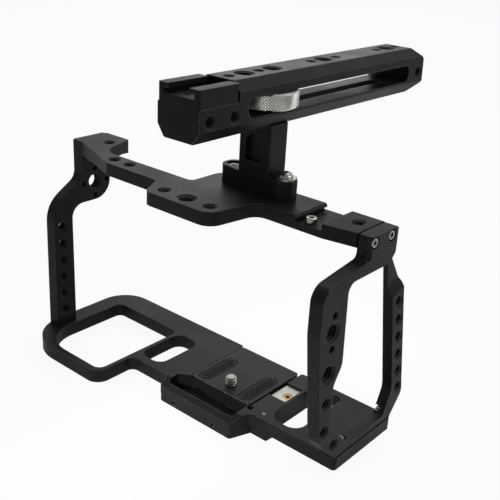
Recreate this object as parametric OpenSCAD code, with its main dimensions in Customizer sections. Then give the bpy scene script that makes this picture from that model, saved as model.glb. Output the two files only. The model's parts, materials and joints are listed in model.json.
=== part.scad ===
// Cage for a mirrorless camera, with a sliding top handle and a quick release plate.
// All modules draw in the cage's own frame: x = 0 at the right end, y = 0 at the base's back edge,
// z = 0 on the base's top face, with the front towards -y. placed() moves that frame so that the
// finished object stands on z = 0, with its outer box centred on x = 0 and y = 0.

/* [Cage] */
// Length of the base, from the end of its loop to the side frame
base_l = 207.3; // [200:0.1:260]
// Height from the base's top face to the top plate's top face
cage_h = 113; // [105:0.5:150]
// Depth of the base plate, right of the loop
base_d = 50; // [49:0.5:60]
// Thickness of the base plate
base_t = 8; // [7.5:0.1:10]
// Extra thickness of the base's middle, below the plate
pad_drop = 4.4; // [3.5:0.1:8]
// Thickness of the top plate's left end, which is seated in the left arm
top_t = 8; // [7:0.1:10]
// Thickness of the rest of the top plate
top_thin_t = 7.1; // [6:0.1:8]

/* [Battery loop] */
// Width of the loop, from its left end to the notch
loop_w = 67.3; // [60:0.1:70]
// How far the loop reaches forward of the base's back edge
loop_d = 82; // [78:0.5:95]
// Width of the loop's left rail, which carries the left arm
loop_rail = 11.9; // [10:0.1:14]
// Width of the loop's back rail
loop_back = 16.2; // [10:0.1:20]
// Width of the loop's front wall
loop_front = 3.7; // [3:0.1:6]
// Width of the loop's right wall
loop_side = 2.5; // [2:0.1:4]

/* [Quick release] */
// Distance of the plate's middle from the cage's right end
qr_from_right = 80.7; // [80:0.1:82]
// Width of the plate's top face
qr_w = 42; // [36:0.1:43]
// Length of the plate, front to back
qr_l = 44.2; // [38:0.1:45]
// Gap between the plate's back edge and the base's back edge
qr_inset = 1.3; // [0.5:0.1:3]
// Width and height of the dovetail's 45 degree flank
flank = 3; // [2:0.1:3.2]
// Height of the plate's upright edge above the flank
qr_lip = 2.5; // [2:0.1:3]
// Gap that the clamp block closes, beside the plate
clamp_gap = 1.5; // [1:0.1:2]
// Length of the clamp block, front to back
block_l = 15.8; // [12:0.1:20]
// Width of the clamp block
block_w = 10.6; // [9:0.1:10.8]

/* [Arms] */
// Thickness of the left arm
arm_t = 7.2; // [7:0.1:9]
// Width of the left arm's straight part
arm_w = 14.2; // [12:0.1:16]
// Number of threaded holes in the left arm and in the rear arm
arm_holes = 6; // [3:1:7]
// Distance between neighbouring holes
hole_pitch = 11; // [10:0.1:12]
// Thickness of the side frame's head and front arm
frame_t = 7.1; // [7:0.1:9]
// Thickness of the side frame's rear arm
rear_arm_t = 5.7; // [5.5:0.1:7]
// Thickness of the set-back link at the top of the rear arm
link_t = 2.7; // [2:0.1:4]

/* [Handle] */
// Length of the handle
handle_l = 189; // [180:0.5:230]
// Width of the handle
handle_w = 25.5; // [22:0.1:30]
// Height of the handle bar
handle_h = 25; // [24:0.1:30]
// Distance of the handle's middle from the cage's right end
handle_from_right = 75.65; // [75:0.1:77]
// How far the handle's front end lies in front of the base's back edge
handle_reach = 86; // [80:0.5:95]
// Height of the post, from the top plate to the handle
post_h = 35.4; // [30:0.1:45]
// Height of the post's flange
flange_h = 9.6; // [8:0.1:12]
// Diameter of the thumbwheel
wheel_d = 33; // [30:0.1:36]
// Height of the side slot, which the thumbwheel turns in
slot_h = 9.4; // [8:0.1:11]

/* [Threads and fits] */
// Diameter of a 1/4 inch thread
quarter_d = 6.35; // [6.3:0.01:6.4]
// Diameter of a 3/8 inch thread
three8_d = 9.525; // [9.5:0.01:9.6]
// Diameter of the small fixing screws
screw_d = 3; // [2.5:0.1:3]
// Diameter of a small hole beside a large one, in the arms
pin_hole_d = 3.4; // [2.5:0.1:4]
// Diameter of a locating hole in the handle's top
handle_pin_d = 5; // [3:0.1:5.5]
// Radial gap round a shank in its hole
fit = 0.05; // [0.02:0.01:0.1]
// Gap between flat faces that slide on each other
slide_gap = 0.1; // [0.05:0.01:0.2]

/* [Hidden] */
$fn = 64;
arc_step = 10;      // degrees of a rounded corner between two points of its outline
past = 1;           // how far a cut runs past the face that it opens
chamfer = 0.5;      // chamfer at the mouth of a threaded hole
anodised = "#2d2d2b";
steel = "#c4c4c0";
dark_steel = "#3a3a38";
brass = "#c49a48";
rubber = "#1d1d1d";

left_x = -base_l;
qr_x = -qr_from_right;                  // middle of the quick release plate
pad_z = -base_t - pad_drop;
plate_z = cage_h - top_t;               // underside of the top plate
loop_right_x = left_x + loop_w;
notch_y = -base_d - 5.2;                // front edge of the plate beside the loop
rail_y = -base_d - 12.1;                // front face of the thick middle's rail
rail_left_x = qr_x - 29.6;
rail_slant = 1.2;                       // how much further left the rail's end stands at the plate
rail_right_x = qr_x + 22.8;
rail_top_z = -3.5;                      // the rail's top slopes down to here at its front face
rail_bend_x = rail_right_x + 4.4;

// Quick release: plate, channel, clamp block and camera screw
qr_back_y = -qr_inset;
qr_front_y = qr_back_y - qr_l;
qr_left_x = qr_x - qr_w / 2;
qr_right_x = qr_x + qr_w / 2;
floor_z = -base_t;                      // floor of the channel
qr_side_gap = 0.6;
qr_corner_r = 1.5;                      // of the plate's and the channel mouth's upright corners
channel_left_x = qr_left_x - qr_side_gap;
pocket_front_y = qr_front_y - 12.9;
pocket_left_x = rail_left_x + 2.2;
tool_w = 7.5;                           // width of the pocket's through part, on the left
channel_right_x = qr_right_x + clamp_gap;
block_top_z = -1.5;
block_foot_z = floor_z + 0.5;
block_mid_y = -21.3;
block_left_x = channel_right_x;
block_right_x = block_left_x + block_w;
block_gap = 0.2;
clamp_x = block_left_x + 7.2;
clamp_y = block_mid_y - 1.1;
clamp_d = 4;
clamp_head_d = 5.4;
clamp_head_h = 3;
camera_x = qr_x + 0.7;
camera_y = -36.6;
camera_proud = 4.8;
camera_head_d = 11;
camera_head_h = 2.2;
camera_neck_d = 5;                      // of the neck that turns in the plate
camera_thread_z = 0.2;
pad_len = 29.5;
pad_wid = 9;
pad_t = 1.6;
pad_proud = 0.4;
pad_inset = 6.4;                        // middle of a rubber pad from the plate's side
pad_y = -29.9;
window_x = [-46, -26.8];
window_y = [-base_d + 4, -4];
slot1_x = [qr_x - 59.5, qr_x - 42];
slot1_y = [-base_d, -17];
slot1_r = 6;
catch_x = block_right_x - 1.2;
catch_y = -45.8;
catch_d = 2.5;

// Left arm, drawn in y and z
arm_inset = 0.8;                        // from the loop's end to the arm's outer face
arm_left_x = left_x + arm_inset;
arm_front_y = -63.4;
arm_lean = 0.9;                         // how far the front edge leans back, up to the crank
arm_back_y = arm_front_y + arm_w;
arm_mid_y = (arm_front_y + arm_back_y) / 2;
arm_right_x = arm_left_x + arm_t;
arm_mid_x = (arm_left_x + arm_right_x) / 2;
arm_hole_z = 9;
skin_t = 1.9;                           // the head's outer skin, beside the top plate
head_front_y = -41.3;
head_back_y = -18.3;
boss_r = 11.3;
boss_y = -31.4;
boss_z = cage_h - 26.6;
boss_pcd = 17.1;
boss_step = 5;                          // from the boss's middle up to its step towards the head
crank_z = cage_h - 36.1;                // outer bend of the crank
arm_screw_y = [arm_front_y + 2.9, arm_back_y - 2.9];
arm_screw_top_z = 5;
head_screw_z = plate_z + top_t / 2 + 0.5;
head_screw_y = [-36.2, -22];
head_screw_l = 12;

// Side frame, drawn in y and z
frame_front_y = -73.2;
frame_head_y = [-40, -17];
head_bevel = 1.6;
head_foot_z = cage_h - 11.4;            // where the head's front edge meets the front arm
frame_foot_y = -base_d;
foot_t = 3.7;
window_top_z = cage_h - 17.8;           // top of the side frame's inner opening
rear_foot_z = 11.5;
rear_lean = [-16.8, cage_h - 30.5];     // y and z from the rear arm's foot bend to its top, in the head
rear_dir = rear_lean / norm(rear_lean);
rear_front = [-2, 17.5];                // the rear arm's front edge at its foot bend
rear_w = 10.4;                          // width of the rear arm, along y
ramp_z = cage_h - 37;                   // where the rear arm's outer face starts to set back
ramp_tilt = 20;
first_rear_hole = [4.3, 16.4];
foot_screw_y = [-39.2, -4.7];
foot_screw_x = -4.9;

// Top plate, drawn in x and y
top_left_x = arm_left_x + skin_t;
top_right_x = -frame_t;
thin_z = cage_h - top_thin_t;           // underside of the top plate's thinner part
top_back_y = -17.7;
bar_y = [-56.8, -43.5];
top_front_y = -72.2;
centre_left_x = -qr_from_right - 30.5;
centre_right_x = -qr_from_right + 12.4;
arm_top_y = -42.5;
t_right_x = left_x + 22.8;
recess_x = [-40, -25.4];
recess_z = cage_h - 3.3;
lip_t = 2;
lip_over = 1.6;
lock_x = -34.3;
lock_y = -38.4;
lock_head_d = 5.5;
lock_head_h = 3;

// Handle, post, thumbwheel and cold shoe
handle_x = -handle_from_right;
handle_front_y = -handle_reach;
handle_back_y = handle_front_y + handle_l;
handle_z = cage_h + post_h;
handle_top_z = handle_z + handle_h;
wheel_y = -27;
wheel_r = wheel_d / 2;
stud_r = quarter_d / 2;
slot_z = [handle_z + 7.2, handle_z + 7.2 + slot_h];
slot_y = [handle_front_y + 32, handle_back_y - 16];
track_r = stud_r + 0.3;
track_start = 2.6;                      // from the wheel's foremost place to the track's front end
washer_t = 0.8;
washer_r = 8;
wheel_z = [slot_z[0] + washer_t + slide_gap, slot_z[1] - 0.3];
column_w = 19.5;
column_y = [-33.5, -19.2];
left_lobe_x = handle_x - 17.6;
right_lobe_x = handle_x + 16.1;
lobe_r = 5.5;
flange_y = [-34.4, -19.6];
post_screw_d = 4;
post_head_d = 7;
stud_foot = 12;                         // depth of the stud in the column
shoe_l = 26;
shoe_w = 25;
shoe_z = handle_top_z - 8.9;
shoe_top_z = handle_top_z - 0.4;
shoe_slot_w = 18.8;
shoe_lips_w = 13;
shoe_floor_t = 4;
shoe_slot_h = 2.2;
shoe_screw_y = [handle_front_y + 7, handle_front_y + 19];
shoe_screw_grip = 2.9;                  // how deep the shoe's screws reach into the handle

// Moves the cage's frame to the finished object's frame
module placed() {
    translate([base_l / 2, -(handle_front_y + handle_back_y) / 2, -pad_z]) children();
}

function unit(v) = v / norm(v);
function turned(v, a) = [v.x * cos(a) - v.y * sin(a), v.x * sin(a) + v.y * cos(a)];

// Points of the arc that rounds the corner p, between its neighbours a and b, to radius r
function corner_arc(a, p, b, r) =
    let (u = unit(a - p), v = unit(b - p), half = acos(u * v) / 2)
    let (centre = p + unit(u + v) * r / sin(half), start = p + u * r / tan(half) - centre)
    let (sweep = (180 - 2 * half) * (cross(u, v) > 0 ? -1 : 1))
    let (steps = max(2, ceil(abs(sweep) / arc_step)))
    [for (k = [0:steps]) centre + turned(start, sweep * k / steps)];

function flat(c) = [c[0], c[1]];

// Outline through corners [x, y, radius]; a corner with radius 0 stays sharp
function outline(corners) =
    let (n = len(corners))
    [for (i = [0:n - 1])
        let (a = flat(corners[(i + n - 1) % n]), p = flat(corners[i]), b = flat(corners[(i + 1) % n]))
        each (corners[i][2] > 0 ? corner_arc(a, p, b, corners[i][2]) : [p])];

// Outline corners of a rectangle with one radius
function box_corners(x, y, r) = [[x[0], y[0], r], [x[1], y[0], r], [x[1], y[1], r], [x[0], y[1], r]];

module prism_z(corners, z) {
    translate([0, 0, z[0]]) linear_extrude(z[1] - z[0]) polygon(outline(corners));
}

module prism_x(corners, x) {
    translate([x[0], 0, 0]) rotate([90, 0, 90]) linear_extrude(x[1] - x[0]) polygon(outline(corners));
}

module prism_y(corners, y) {
    translate([0, y[1], 0]) rotate([90, 0, 0]) linear_extrude(y[1] - y[0]) polygon(outline(corners));
}

// Round bar or hole along z, through the point [x, y]
module round_z(p, r, z) {
    translate([p[0], p[1], z[0]]) cylinder(h = z[1] - z[0], r = r);
}

// Threaded hole along z, chamfered at both faces
module tapped_z(p, d, z) {
    r = d / 2;
    round_z(p, r, [z[0] - past, z[1] + past]);
    translate([p[0], p[1], z[1] - chamfer]) cylinder(h = chamfer + past, r1 = r, r2 = r + chamfer + past);
    translate([p[0], p[1], z[0] - past]) cylinder(h = chamfer + past, r1 = r + chamfer + past, r2 = r);
}

// The same along x, through the point [y, z]
module tapped_x(p, d, x) {
    translate([0, p[0], p[1]]) rotate([90, 0, 90]) tapped_z([0, 0], d, x);
}

module round_x(p, r, x) {
    translate([x[0], p[0], p[1]]) rotate([0, 90, 0]) cylinder(h = x[1] - x[0], r = r);
}

// Socket head screw along -z: the head's underside lies on z = 0
module cap_screw(d, head_d, head_h, length) {
    socket_d = head_d * 0.5;
    socket_depth = head_h * 0.6;
    difference() {
        union() {
            cylinder(h = head_h, r = head_d / 2);
            translate([0, 0, -length]) cylinder(h = length, r = d / 2);
        }
        translate([0, 0, head_h - socket_depth]) cylinder(h = head_h, r = socket_d / 2, $fn = 6);
    }
}

// Flat head screw along -z: the head's top lies on z = 0
module flat_screw(d, head_d, length) {
    head_h = (head_d - d) / 2;
    difference() {
        union() {
            translate([0, 0, -head_h]) cylinder(h = head_h, r1 = d / 2, r2 = head_d / 2);
            translate([0, 0, -length]) cylinder(h = length - head_h, r = d / 2);
        }
        translate([0, 0, -head_h]) cylinder(h = 2 * head_h, r = head_d / 4, $fn = 6);
    }
}

// Room for a flat head screw, open above z = 0
module flat_screw_seat(d, head_d, length) {
    head_h = (head_d - d) / 2;
    translate([0, 0, -head_h - fit]) cylinder(h = head_h + fit, r1 = d / 2 + fit, r2 = head_d / 2 + 2 * fit);
    translate([0, 0, -length - past]) cylinder(h = length + past, r = d / 2 + fit);
    cylinder(h = past, r = head_d / 2 + 2 * fit);
}

flat_head_d = screw_d * 1.8;
cap_head_d = screw_d * 1.83;
cap_head_h = screw_d * 0.8;
foot_screw_seat_z = foot_t - 0.6;

// ---------------------------------------------------------------- base

base_corners = [
    [0, 0, 0.8], [0, -base_d, 2], [rail_bend_x, -base_d, 3], [rail_right_x, rail_y, 2],
    [rail_left_x, rail_y, 2], [rail_left_x - rail_slant, notch_y, 0.5], [loop_right_x, notch_y, 4],
    [loop_right_x, -loop_d, 8], [left_x, -loop_d, 26], [left_x, 0, 18]];

rail_corners = [
    [rail_left_x, -base_d + 1, 0], [rail_left_x, rail_y, 2], [rail_right_x, rail_y, 2],
    [rail_bend_x, -base_d, 0], [rail_bend_x, -base_d + 1, 0]];

loop_hole_corners = [
    [loop_right_x - loop_side, -loop_back, 4], [loop_right_x - loop_side, -loop_d + loop_front, 5],
    [left_x + loop_rail, -loop_d + loop_front, 22], [left_x + loop_rail, -loop_back, 4]];

// Thick middle, drawn in x and z
pad_corners = [
    [rail_left_x, -base_t + 0.5, 0], [rail_left_x, pad_z, 1], [qr_x + 37.7, pad_z, 1.5],
    [qr_x + 41.7, -base_t, 3], [qr_x + 42.7, -base_t + 0.5, 0]];

// Dovetail of the plate in x and z, with its left and right upright edges and its top and foot
function dovetail(left, right, top, foot) = [
    [left, top, 0], [left, -qr_lip, 0], [left - flank, -qr_lip - flank, 0], [left - flank, foot, 0],
    [right + flank, foot, 0], [right + flank, -qr_lip - flank, 0], [right, -qr_lip, 0], [right, top, 0]];

pocket_corners = [
    [pocket_left_x, pocket_front_y, 3], [pocket_left_x, qr_front_y - 4.6, 1.5],
    [pocket_left_x + 2.6, qr_front_y - 2.6, 1.5], [qr_left_x, qr_front_y, 0],
    [qr_left_x, qr_front_y + past, 0], [rail_right_x - 1.5, qr_front_y + past, 3],
    [rail_right_x - 1.5, pocket_front_y, 3]];

// Mouth of the channel in the base's back edge, with rounded corners
mouth_corners = [
    [channel_left_x - 2 * qr_corner_r, past, 0], [channel_left_x - 2 * qr_corner_r, 0, 0],
    [channel_left_x, 0, qr_corner_r], [channel_left_x, -2 * qr_corner_r, 0],
    [channel_right_x, -2 * qr_corner_r, 0], [channel_right_x, 0, qr_corner_r],
    [channel_right_x + 2 * qr_corner_r, 0, 0], [channel_right_x + 2 * qr_corner_r, past, 0]];

module qr_channel() {
    prism_y(dovetail(channel_left_x, channel_right_x, past, floor_z), [qr_front_y - slide_gap, past]);
    prism_z(mouth_corners, [-qr_lip, past]);
    prism_z(pocket_corners, [floor_z, past]);
    prism_z(box_corners([pocket_left_x, pocket_left_x + tool_w], [pocket_front_y + 1, qr_front_y - 5], 2),
        [pad_z - past, floor_z + past]);
    round_z([channel_right_x + 0.8, qr_front_y - 1], 2, [floor_z, past]);
    prism_z(box_corners([block_left_x - past, block_right_x + block_gap],
        [block_mid_y - block_l / 2 - block_gap, block_mid_y + block_l / 2 + block_gap], 0.8), [floor_z, past]);
}

module base_plate() {
    color(anodised) placed() difference() {
        union() {
            prism_z(base_corners, [-base_t, 0]);
            prism_z(rail_corners, [pad_z, -base_t]);
            prism_y(pad_corners, [-base_d, 0]);
        }
        prism_z(loop_hole_corners, [-base_t - past, past]);
        prism_z(box_corners(slot1_x, slot1_y, slot1_r), [-base_t - past, past]);
        prism_z([[window_x[0], window_y[0], 7], [window_x[1], window_y[0], 7],
            [window_x[1], window_y[1], 4], [window_x[0], window_y[1], 4]], [pad_z - past, past]);
        // The rail's top slopes down to its front face
        prism_x([[notch_y, 0, 0], [notch_y, past, 0], [rail_y - past, past, 0], [rail_y - past, rail_top_z, 0],
            [rail_y, rail_top_z, 0]], [rail_left_x - 2 * rail_slant, rail_bend_x + past]);
        qr_channel();
        round_z([clamp_x, clamp_y], clamp_d / 2 + fit, [pad_z - past, floor_z + past]);
        round_z([catch_x, catch_y], catch_d / 2 + 0.4, [-0.7, past]);
        round_z([catch_x, catch_y], catch_d / 2 + fit, [-5, past]);
        for (x = set_screw_x) set_screw_hole(x);
        for (y = arm_screw_y) translate([arm_mid_x, y, -base_t])
            rotate([180, 0, 0]) flat_screw_seat(screw_d, flat_head_d, base_t + past);
        for (y = foot_screw_y) round_z([foot_screw_x, y], screw_d / 2 + fit, [-base_t - past, past]);
    }
}

set_screw_x = [qr_x - 18.3, qr_x + 10.2];
set_screw_z = -9.6;
set_screw_d = 3;
set_screw_l = 4;

module set_screw_hole(x) {
    translate([x, rail_y - past, set_screw_z]) rotate([-90, 0, 0])
        cylinder(h = set_screw_l + 0.5 + past, r = set_screw_d / 2 + fit);
}

module front_set_screws() {
    color(dark_steel) placed() for (x = set_screw_x)
        translate([x, rail_y + 0.3, set_screw_z]) rotate([-90, 0, 0]) difference() {
            cylinder(h = set_screw_l, r = set_screw_d / 2);
            translate([0, 0, -past]) cylinder(h = past + set_screw_l / 2, r = set_screw_d / 4, $fn = 6);
        }
}

module safety_pin() {
    color(steel) placed() translate([catch_x, catch_y, -5]) rotate_extrude()
        polygon(outline([[0, 0, 0], [catch_d / 2, 0, 0], [catch_d / 2, 5.1, 0.5], [0, 5.1, 0]]));
}

// ---------------------------------------------------------------- quick release

module stadium(p, z) {
    prism_z(box_corners([p[0] - pad_wid / 2, p[0] + pad_wid / 2], [p[1] - pad_len / 2, p[1] + pad_len / 2],
        pad_wid / 2 - 0.1), z);
}

left_pad_at = [qr_left_x + pad_inset, pad_y];
right_pad_at = [qr_right_x - pad_inset, pad_y];

front_slot_x = 18.3;                    // from the plate's middle to the slot's left end
front_slot_l = 10;
front_slot_depth = 4;
front_slot_h = 1.8;

module qr_plate() {
    foot = floor_z + slide_gap;
    color(anodised) placed() difference() {
        intersection() {
            prism_y(dovetail(qr_left_x, qr_right_x, 0, foot), [qr_front_y, qr_back_y]);
            union() {
                prism_z(box_corners([qr_left_x - flank, qr_right_x + flank], [qr_front_y, qr_back_y], 1.2),
                    [foot - past, -qr_lip]);
                prism_z(box_corners([qr_left_x, qr_right_x], [qr_front_y, qr_back_y], qr_corner_r),
                    [-qr_lip - past, past]);
            }
        }
        stadium(left_pad_at, [-pad_t, past]);
        stadium(right_pad_at, [-pad_t, past]);
        round_z([camera_x, camera_y], quarter_d / 2 + fit, [floor_z - past, past]);
        round_z([camera_x, camera_y], camera_head_d / 2 + 2 * fit, [floor_z - past, foot + camera_head_h + fit]);
        // Slot at the foot of the front face
        translate([qr_x - front_slot_x, qr_front_y - past, foot - past])
            cube([front_slot_l, front_slot_depth + past, front_slot_h + past]);
    }
}

module qr_pad(at) {
    color(rubber) placed() intersection() {
        stadium(at, [-pad_t, pad_proud]);
        prism_z(box_corners([at[0] - pad_wid / 2 + fit, at[0] + pad_wid / 2 - fit],
            [at[1] - pad_len / 2 + fit, at[1] + pad_len / 2 - fit], pad_wid / 2 - 0.2), [-pad_t, pad_proud]);
    }
}

module qr_pad_left() {
    qr_pad(left_pad_at);
}

module qr_pad_right() {
    qr_pad(right_pad_at);
}

module camera_screw() {
    head_z = floor_z + slide_gap + 0.3;
    color(steel) placed() translate([camera_x, camera_y, 0]) difference() {
        rotate_extrude() polygon(outline([[0, head_z, 0], [camera_head_d / 2, head_z, 0.4],
            [camera_head_d / 2, head_z + camera_head_h - 0.3, 0],
            [camera_neck_d / 2, head_z + camera_head_h - 0.3, 0], [camera_neck_d / 2, camera_thread_z, 0],
            [quarter_d / 2, camera_thread_z, 0], [quarter_d / 2, camera_proud, 0.8], [0, camera_proud, 0]]));
        translate([-camera_head_d / 2 - past, -0.7, head_z - past]) cube([camera_head_d + 2 * past, 1.4, 1 + past]);
    }
}

// The block overhangs the plate's right flank and presses it down when its screw is tightened
module clamp_block() {
    side_y = [block_mid_y - block_l / 2, block_mid_y + block_l / 2];
    seat = 0.1;
    flank_top_z = -qr_lip - clamp_gap + seat;
    color(steel) placed() difference() {
        intersection() {
            prism_y([[block_left_x, block_top_z, 0], [block_left_x, flank_top_z, 0],
                [block_left_x + flank - clamp_gap + seat, -qr_lip - flank, 0],
                [block_left_x + flank - clamp_gap + seat, block_foot_z, 0],
                [block_right_x, block_foot_z, 0], [block_right_x, block_top_z, 0]], side_y);
            prism_z(box_corners([block_left_x, block_right_x], side_y, 1.6), [block_foot_z, block_top_z]);
        }
        round_z([clamp_x, clamp_y], clamp_d / 2 + 3 * fit, [block_foot_z - past, block_top_z]);
        round_z([clamp_x, clamp_y], clamp_head_d / 2 + 3 * fit, [clamp_seat_z, block_top_z + past]);
    }
}

clamp_seat_z = block_top_z - clamp_head_h - 0.2;

module clamp_screw() {
    color(brass) placed() translate([clamp_x, clamp_y, clamp_seat_z])
        cap_screw(clamp_d, clamp_head_d, clamp_head_h, clamp_seat_z - pad_z - 1);
}

// ---------------------------------------------------------------- left arm

left_arm_corners = [
    [arm_front_y, 0, 0], [arm_back_y, 0, 0], [arm_back_y, boss_z - boss_r, 8],
    [boss_y + boss_r, boss_z - boss_r, boss_r - 0.2], [boss_y + boss_r, boss_z + boss_step, 6],
    [head_back_y, plate_z, 4], [head_back_y, cage_h, 1.2], [head_front_y, cage_h, 1.2],
    [head_front_y, cage_h - 22.9, 8], [arm_front_y + arm_lean, crank_z, 18]];

module left_arm() {
    x = [arm_left_x, arm_right_x];
    color(anodised) placed() difference() {
        prism_x(left_arm_corners, x);
        translate([arm_left_x + skin_t, head_front_y - past, plate_z])
            cube([arm_t, head_back_y - head_front_y + 2 * past, top_t + past]);
        for (i = [0:arm_holes - 1]) tapped_x([arm_mid_y, arm_hole_z + i * hole_pitch], quarter_d, x);
        tapped_x([boss_y, boss_z], three8_d, x);
        for (a = [0:90:270])
            round_x([boss_y + boss_pcd / 2 * cos(a), boss_z + boss_pcd / 2 * sin(a)], pin_hole_d / 2,
                [arm_left_x - past, arm_right_x + past]);
        for (y = arm_screw_y) round_z([arm_mid_x, y], screw_d / 2 + fit, [-past, arm_screw_top_z + 0.5]);
        for (y = head_screw_y) translate([arm_left_x, y, head_screw_z])
            rotate([0, -90, 0]) flat_screw_seat(screw_d, flat_head_d, skin_t);
    }
}

module left_arm_foot_screws() {
    color(dark_steel) placed() for (y = arm_screw_y)
        translate([arm_mid_x, y, -base_t]) rotate([180, 0, 0])
            flat_screw(screw_d, flat_head_d, base_t + arm_screw_top_z);
}

module left_arm_head_screws() {
    color(dark_steel) placed() for (y = head_screw_y)
        translate([arm_left_x, y, head_screw_z]) rotate([0, -90, 0]) flat_screw(screw_d, flat_head_d, head_screw_l);
}

// ---------------------------------------------------------------- side frame

// Head, front arm and foot
front_arm_corners = [
    [-50.5, 0, 0], [-65.2, 15.2, 8], [frame_front_y, cage_h - 38, 20], [frame_front_y, cage_h - 15.8, 8],
    [frame_head_y[0], head_foot_z, 3], [frame_head_y[0], cage_h, 1.2], [frame_head_y[1], cage_h, 1.5],
    [frame_head_y[1], cage_h - 13, 1.5], [frame_head_y[1] - 4, window_top_z, 1.5], [-54.6, window_top_z, 5],
    [-53, cage_h - 59, 8], [-58.9, cage_h - 68.3, 8], [-57.2, 22.9, 10], [-40.9, foot_t, 3],
    [-38, foot_t, 0], [-38, 0, 0]];

// Rear arm, from its foot to the link's top inside the head
rear_top = rear_front + rear_lean;
rear_bend = rear_front + [rear_w, 0] + 0.76 * rear_lean;
rear_arm_corners = [
    [-9, 0, 0], [-9, foot_t, 0], [-8, foot_t, 3], [rear_front.x, rear_front.y, 10],
    [rear_top.x, rear_top.y, 0], [frame_head_y[1] - 0.5, rear_top.y, 0], [rear_bend.x, rear_bend.y, 3],
    [rear_front.x + rear_w + 0.6, rear_foot_z, 5], [-0.8, 0, 0]];

module rear_arm() {
    difference() {
        prism_x(rear_arm_corners, [-rear_arm_t, 0]);
        // The outer face ramps inwards to the thin link
        translate([0, rear_front.x + 0.7 * rear_lean.x + rear_w / 2, ramp_z]) rotate([ramp_tilt, 0, 0])
            prism_y([[0, 0, 0], [link_t - rear_arm_t, 5, 0], [link_t - rear_arm_t, 30, 0], [past, 30, 0],
                [past, 0, 0]], [-20, 20]);
        for (i = [0:arm_holes - 1])
            tapped_x(first_rear_hole + rear_dir * i * hole_pitch, quarter_d, [-rear_arm_t, 0]);
    }
}

// Holes of the front arm: [y, z, diameter]
front_arm_holes = [
    [-63, cage_h - 30.3, pin_hole_d], [-63.5, cage_h - 38.6, three8_d], [-63, cage_h - 47.2, pin_hole_d],
    [-63.5, cage_h - 59.9, three8_d], [-63.2, 36.9, quarter_d], [-62.6, 21.1, quarter_d],
    [-53.2, 9.3, quarter_d]];

module side_frame() {
    x = [-frame_t, 0];
    color(anodised) placed() difference() {
        union() {
            prism_x(front_arm_corners, x);
            rear_arm();
            prism_z(box_corners([-frame_t, 0], [frame_foot_y, 0], 0.8), [0, foot_t]);
        }
        // Bevel down the head's front edge
        prism_z([[-head_bevel, frame_head_y[0], 0], [-head_bevel, frame_head_y[0] - past, 0],
            [past, frame_head_y[0] - past, 0], [past, frame_head_y[0] + head_bevel, 0],
            [0, frame_head_y[0] + head_bevel, 0]], [head_foot_z, cage_h + past]);
        for (h = front_arm_holes) tapped_x([h[0], h[1]], h[2], x);
        for (y = head_screw_y) {
            round_x([y, head_screw_z], screw_d / 2 + fit, [-frame_t - past, past]);
            round_x([y, head_screw_z], cap_head_d / 2 + 0.3, [-cap_head_h, past]);
        }
        for (y = foot_screw_y) {
            round_z([foot_screw_x, y], screw_d / 2 + fit, [-past, foot_t + past]);
            round_z([foot_screw_x, y], cap_head_d / 2 + 0.2, [foot_screw_seat_z, foot_t + 4]);
        }
    }
}

module side_frame_head_screws() {
    color(steel) placed() for (y = head_screw_y)
        translate([-cap_head_h, y, head_screw_z]) rotate([0, 90, 0])
            cap_screw(screw_d, cap_head_d, cap_head_h - 0.2, head_screw_l);
}

module side_frame_foot_screws() {
    color(steel) placed() for (y = foot_screw_y)
        translate([foot_screw_x, y, foot_screw_seat_z])
            cap_screw(screw_d, cap_head_d, 1.2, foot_screw_seat_z + base_t - 1);
}

// ---------------------------------------------------------------- top plate

top_corners = [
    [top_left_x, top_back_y, 0.8], [top_left_x, -41.6, 0.8], [left_x + 10, -41.6, 3],
    [left_x + 49, bar_y[0], 3], [centre_left_x - 8.5, bar_y[0], 4], [centre_left_x, top_front_y, 5],
    [centre_right_x, top_front_y, 8], [centre_right_x + 4.3, arm_top_y, 7], [-25, arm_top_y, 3],
    [top_right_x, arm_top_y + 3, 0.8], [top_right_x, top_back_y, 0.8],
    [centre_left_x + 3.7, top_back_y, 9], [centre_left_x + 3.7, bar_y[1], 3],
    [left_x + 31, bar_y[1], 12], [t_right_x, top_back_y, 1]];

bar_hole_x = [left_x + 47, left_x + 59.3];
centre_hole_x = [qr_x - 25.6, qr_x - 10, qr_x + 5.6];
centre_hole_y = top_front_y + 8.2;

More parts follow.
